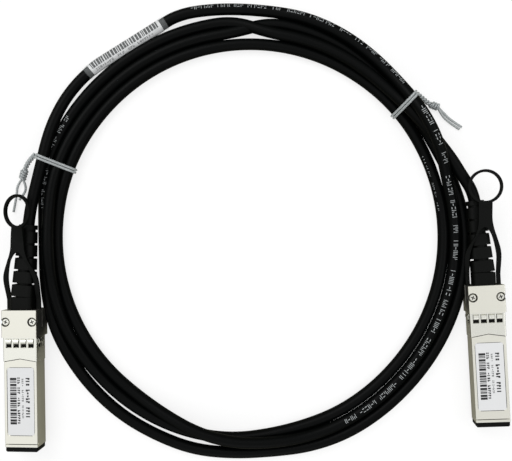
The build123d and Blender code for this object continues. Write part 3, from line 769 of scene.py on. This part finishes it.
def plug_print(side, end, seed):
    """Meaningless print on a plug's label: a bar pattern, and three rows read along the plug."""
    rng = np.random.default_rng(seed)
    blocks = []

    def patch(x_low, x_high, y_low, y_high):
        grid_x, grid_y = np.meshgrid([x_low, x_high], [y_low, y_high])
        blocks.append(flat_patch(end, grid_x, grid_y, LABEL_FACE + 0.015))

    place = -LABEL_START - CODE_ENDS[0]
    while place > -LABEL_START - CODE_ENDS[1]:
        thick = float(rng.choice(CODE_BARS))
        patch(*CODE_SIDES, place - thick, place)
        place -= thick + float(rng.choice(CODE_GAPS))
    for x, height, pitch, bold, first, last in LABEL_ROWS:
        for left, right, low, high in stroke_row(rng, last - first, pitch, bold):
            y = -LABEL_START - first
            patch(x + height * low, x + height * high, y - right, y - left)
    return grids(side + "_label_ink", blocks, ink)


def flat_patch(end, x, y, z):
    """A flat or ruled grid in the frame of an end, from its x, y and z in mm."""
    spots = end_point(end, *np.broadcast_arrays(x, y, z))
    return np.stack(spots, axis=-1) * MM


def painted_shade_patches(side, end):
    """Painted shade: dark patches under the spring fingers, round and across the screws, and along
    collar and label.
    """
    blocks = []
    # Painted shade: a black sheet on the floor of each top and side finger window, standing in for
    # the shade under the spring fingers
    strip = [FINGER_SHADE_START, FINGER_SHADE_END]
    for i in range(FINGER_COUNT):
        x = (i - (FINGER_COUNT - 1) / 2) * FINGER_PITCH
        grid_x, grid_y = np.meshgrid([x - FINGER_SHADE_HALF, x + FINGER_SHADE_HALF], strip)
        blocks.append(flat_patch(end, grid_x, grid_y, BODY_TOP - FINGER_SHADE_DEPTH))
    for way in (-1, 1):
        for i in range(SIDE_FINGER_COUNT):
            z = BODY_TOP - SIDE_DEPTH + (i - (SIDE_FINGER_COUNT - 1) / 2) * FINGER_PITCH
            grid_z, grid_y = np.meshgrid([z - FINGER_SHADE_HALF, z + FINGER_SHADE_HALF], strip)
            blocks.append(flat_patch(end, way * SIDE_X, grid_y, grid_z))
    finger_shade = grids(side + "_finger_shade", blocks, black)
    blocks = []
    # Painted shade: a dark ring on each screw's counterbore floor and a dark cross in its recess
    for x in (-SCREW_X, SCREW_X):
        turns = np.linspace(0, 2 * np.pi, 41)
        radii = np.array(SCREW_RING)[:, None]
        ring_x = np.clip(x + radii * np.cos(turns), -HEAD_EDGE, HEAD_EDGE)
        blocks.append(flat_patch(end, ring_x, -SCREW_Y + radii * np.sin(turns), SCREW_SEAT + 0.01))
        for turn in np.radians([CROSS_TURN * x, CROSS_TURN * x + 90]):
            reach, wide = np.meshgrid([-CROSS_HALF, CROSS_HALF], [-CROSS_SLOT, CROSS_SLOT])
            cross_x = x + reach * np.cos(turn) - wide * np.sin(turn)
            cross_y = -SCREW_Y + reach * np.sin(turn) + wide * np.cos(turn)
            blocks.append(flat_patch(end, cross_x, cross_y, SCREW_SEAT + CROSS_RISE))
    # Painted shadow: a thin dark band along the collar's chevron edge
    grid_x = np.array([[-CHEVRON_REACH, 0.0, CHEVRON_REACH]] * 2)
    edge = COLLAR_FRONT + COLLAR_POINT * (1 - np.abs(grid_x) / COLLAR_HALF)
    grid_y = edge + np.array(CHEVRON_BAND)[:, None]
    blocks.append(flat_patch(end, grid_x, grid_y, BODY_TOP + 0.012))
    # Painted shade: thin dark strips in the gap round the label's recess
    edge_x = LABEL_WIDTH / 2 + RECESS_MARGIN / 2
    near_y = -LABEL_START + RECESS_MARGIN / 2
    far_y = -LABEL_START - LABEL_LENGTH - RECESS_MARGIN / 2
    thin = RECESS_MARGIN / 2 - 0.01
    for x_low, x_high, y_low, y_high in (
        (-edge_x - thin, -edge_x + thin, far_y + 1, near_y - 1),
        (edge_x - thin, edge_x + thin, far_y + 1, near_y - 1),
        (-edge_x + 1, edge_x - 1, near_y - thin, near_y + thin),
        (-edge_x + 1, edge_x - 1, far_y - thin, far_y + thin),
    ):
        grid_x, grid_y = np.meshgrid([x_low, x_high], [y_low, y_high])
        blocks.append(flat_patch(end, grid_x, grid_y, BODY_TOP - RECESS_DEPTH + 0.02))
    recess = grids(side + "_recess_shade", blocks, painted_shade)
    return finger_shade, recess


def contacts(side, end):
    """Gold contact strips on both faces of a card's front edge."""
    blocks = []
    for face, lift in zip(CARD_FACES, (-0.03, 0.03)):
        for i in range(CONTACT_COUNT):
            x = (i - (CONTACT_COUNT - 1) / 2) * CONTACT_PITCH
            start = CARD_FRONT + (LONG_START if i in LONG_CONTACTS else CONTACT_START)
            sides = [x - CONTACT_HALF, x + CONTACT_HALF]
            grid_x, grid_y = np.meshgrid(sides, [start, CARD_FRONT + CONTACT_END])
            blocks.append(flat_patch(end, grid_x, grid_y, face + lift))
    return grids(side + "_contacts", blocks, gold)


def look():
    """Camera, lamps, floor and backdrop."""
    scene = bpy.context.scene
    scene.view_settings.view_transform = "Standard"
    camera = bpy.data.objects.new("camera", bpy.data.cameras.new("camera"))
    camera.location = (0, CAMERA_Y * MM, CAMERA_HEIGHT * MM)
    camera.data.sensor_width = SENSOR
    camera.data.lens = SENSOR * FOCAL_PIXELS / IMAGE_WIDTH
    camera.data.clip_start = 0.01
    bpy.context.collection.objects.link(camera)
    scene.camera = camera

    world = bpy.data.worlds.new("studio")
    scene.world = world
    world.use_nodes = True
    tree = world.node_tree
    back = tree.nodes["Background"]
    path = add(tree, "ShaderNodeLightPath")
    place = add(tree, "ShaderNodeTexCoord")
    split = add(tree, "ShaderNodeSeparateXYZ", Vector=place.outputs["Generated"])
    ramp = add(tree, "ShaderNodeValToRGB", Fac=split.outputs["Z"])
    ramp.color_ramp.elements[0].position = 0.0
    ramp.color_ramp.elements[0].color = linear("5C5B50")
    ramp.color_ramp.elements[1].position = 0.85
    ramp.color_ramp.elements[1].color = linear("FFFFFF")
    shown = add(
        tree, "ShaderNodeMix", {"data_type": "RGBA"}, i0=path.outputs["Is Camera Ray"],
        i6=ramp.outputs["Color"], i7=linear("FFFFFF"),
    )
    tree.links.new(shown.outputs[2], back.inputs["Color"])
    tilt = add(
        tree, "ShaderNodeMath", {"operation": "MULTIPLY_ADD"}, i0=split.outputs["X"],
        i1=WORLD_TILT, i2=WORLD_STRENGTH,
    )
    strength = add(
        tree, "ShaderNodeMix", {"data_type": "FLOAT"}, i0=path.outputs["Is Camera Ray"],
        i2=tilt.outputs[0], i3=1.0,
    )
    tree.links.new(strength.outputs[0], back.inputs["Strength"])

    floor_mesh = bpy.data.meshes.new("floor")
    corners = [(x * FLOOR_HALF, y * FLOOR_HALF, 0) for x, y in ((-1, -1), (1, -1), (1, 1), (-1, 1))]
    floor_mesh.from_pydata(corners, [], [(0, 1, 2, 3)])
    floor = bpy.data.objects.new("floor", floor_mesh)
    floor.location = (0, 0, -FLOOR_DROP)
    bpy.context.collection.objects.link(floor)
    made = bpy.data.materials.new("white_sweep")
    made.use_nodes = True
    tree = made.node_tree
    shader = tree.nodes["Principled BSDF"]
    shader.inputs["Roughness"].default_value = 0.9
    path = add(tree, "ShaderNodeLightPath")
    tone = add(
        tree, "ShaderNodeMix", {"data_type": "RGBA"}, i0=path.outputs["Is Glossy Ray"],
        i6=linear("F4F4F4"), i7=linear("8F8D80"),
    )
    tree.links.new(tone.outputs[2], shader.inputs["Base Color"])
    glow = add(tree, "ShaderNodeEmission", Color=linear("FFFFFF"), Strength=1.0)
    share = add(
        tree, "ShaderNodeMath", {"operation": "MULTIPLY"}, i0=path.outputs["Is Camera Ray"],
        i1=FLOOR_GLOW,
    )
    blend = add(
        tree, "ShaderNodeMixShader", i0=share.outputs[0], i1=shader.outputs[0], i2=glow.outputs[0]
    )
    tree.links.new(blend.outputs[0], tree.nodes["Material Output"].inputs["Surface"])
    floor_mesh.materials.append(made)

    for name, place, size, power in LAMPS:
        data = bpy.data.lights.new(name, "AREA")
        data.energy = power
        data.size = size
        lamp = bpy.data.objects.new(name, data)
        lamp.location = place
        aim = Vector(LAMP_AIM) - Vector(place)
        lamp.rotation_euler = aim.to_track_quat("-Z", "Y").to_euler()
        bpy.context.collection.objects.link(lamp)


look()
zinc = zinc_material()
steel = steel_material()
black = moulded_material()
jacket = jacket_material()
board = board_material()
paper = paper_material()
clear = clear_material()
ink = ink_material()
jacket_ink = print_material()
wire = wire_material()
gold = gold_material()
painted_shade = painted_shade_material()

for side in ("left", "right"):
    for piece, material in (
        ("base_shell", zinc),
        ("cover", zinc),
        ("label", paper),
        ("cover_screws", steel),
        ("emi_collar", steel),
        ("mouth_frame", black),
        ("paddle_card", board),
        ("latch_slide", steel),
        ("return_spring", steel),
        ("crimp_ferrule", steel),
        ("strain_relief", black),
        ("pull_tab", black),
    ):
        dress(side + "_" + piece, material)

cable_object, exit_point = cable()
cable_object.data.materials.append(jacket)
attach(cable_object, "cable")
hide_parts("cable_coil", "left_lead", "right_lead")
line, along = centre_line(cable_object)
pieces = marker()
for name, ends, tail, second in (
    ("left_tie", LEFT_TIE, LEFT_TAIL, LEFT_SECOND),
    ("right_tie", RIGHT_TIE, RIGHT_TAIL, RIGHT_SECOND),
):
    pieces.append(tie(name, ends, tail, second))

rng = np.random.default_rng(5)
printed = jacket_print(rng, nearest(PRINT_START), on_strand(0, 44), -0.5, 1.7)
for strand, first, last, middle, height in PRINT_ROWS:
    printed += jacket_print(rng, on_strand(strand, first), on_strand(strand, last), middle, height)
pieces.append(grids("jacket_marks", printed, jacket_ink))
for side, end, seed in (("left", LEFT, 3), ("right", RIGHT, 3)):
    plug_print(side, end, seed)
    painted_shade_patches(side, end)
    contacts(side, end)
